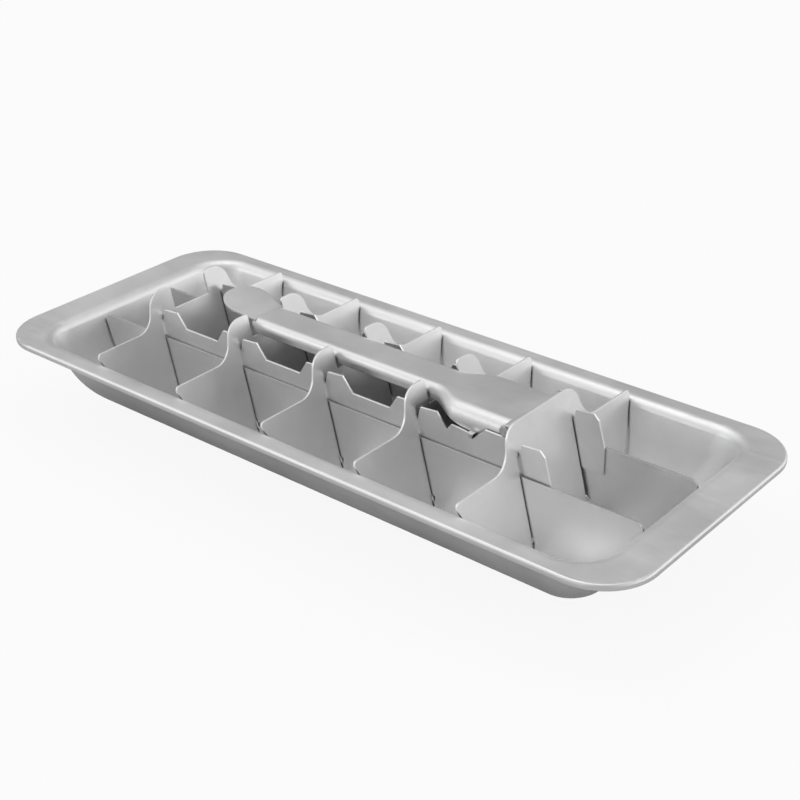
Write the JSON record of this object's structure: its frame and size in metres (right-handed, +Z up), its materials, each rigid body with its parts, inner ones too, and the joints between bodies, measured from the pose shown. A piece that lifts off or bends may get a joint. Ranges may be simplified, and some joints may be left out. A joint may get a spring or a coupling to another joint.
{
  "type": "lever ice cube tray",
  "caption": "Shallow rimmed metal tray with a lift-out grid of leaning dividers and a long hinged lever on top that sets the dividers upright to free the ice.",
  "frame": {"origin": "centre of the pan's underside, on the surface it stands on", "axes": "+X along the tray towards the lever's hinge, +Y across it, +Z up"},
  "size_m": [0.286, 0.1154, 0.0504],
  "materials": {
    "pan_steel": "satin pressed sheet",
    "grid_steel": "satin sheet with bright cut edges",
    "lever_steel": "satin, brighter on the bends",
    "pin_steel": "drawn wire"
  },
  "bodies": {
    "pan": {"ice_pan": "pan_steel"},
    "grid": {"long_divider_near": "grid_steel", "long_divider_far": "grid_steel"},
    "bars": {"slide_bar_near": "grid_steel", "slide_bar_far": "grid_steel"},
    "lever": {"release_lever": "lever_steel", "lever_hinge_pin": "pin_steel"},
    "divider_1": {"cross_divider_1": "grid_steel"},
    "divider_2": {"cross_divider_2": "grid_steel"},
    "divider_3": {"cross_divider_3": "grid_steel"},
    "divider_4": {"cross_divider_4": "grid_steel"},
    "divider_5": {"cross_divider_5": "grid_steel"}
  },
  "joints": [
    {"name": "grid_lift", "type": "slide", "parent": "pan", "child": "grid", "axis": [0, 0, 1], "range_m": [0, 0.045]},
    {"name": "cross_divider_1_swing", "type": "hinge", "parent": "grid", "child": "divider_1", "pos_m": [-0.08485, 0, 0.0078], "axis": [0, 1, 0], "range_deg": [0, 13.95]},
    {"name": "cross_divider_2_swing", "type": "hinge", "parent": "grid", "child": "divider_2", "pos_m": [-0.04268, 0, 0.0078], "axis": [0, 1, 0], "range_deg": [0, 13.95]},
    {"name": "cross_divider_3_swing", "type": "hinge", "parent": "grid", "child": "divider_3", "pos_m": [-0.00051, 0, 0.0078], "axis": [0, 1, 0], "range_deg": [0, 13.95]},
    {"name": "cross_divider_4_swing", "type": "hinge", "parent": "grid", "child": "divider_4", "pos_m": [0.04166, 0, 0.0078], "axis": [0, 1, 0], "range_deg": [0, 13.95]},
    {"name": "cross_divider_5_swing", "type": "hinge", "parent": "grid", "child": "divider_5", "pos_m": [0.08383, 0, 0.0078], "axis": [0, 1, 0], "range_deg": [0, 13.95]},
    {"name": "slide_bars_travel", "type": "slide", "parent": "grid", "child": "bars", "axis": [1, 0, 0], "range_m": [0, 0.00725]},
    {"name": "lever_lift", "type": "hinge", "parent": "divider_5", "child": "lever", "pos_m": [0.0713, 0, 0.0444], "axis": [0, 1, 0], "range_deg": [0, 80]}
  ],
  "couplings": [
    {"joint": "cross_divider_1_swing", "follows": "lever_lift", "ratio": 0.17375},
    {"joint": "cross_divider_2_swing", "follows": "lever_lift", "ratio": 0.17375},
    {"joint": "cross_divider_3_swing", "follows": "lever_lift", "ratio": 0.17375},
    {"joint": "cross_divider_4_swing", "follows": "lever_lift", "ratio": 0.17375},
    {"joint": "cross_divider_5_swing", "follows": "lever_lift", "ratio": 0.17375},
    {"joint": "slide_bars_travel", "follows": "lever_lift", "m_per_rad": 0.0051754}
  ]
}
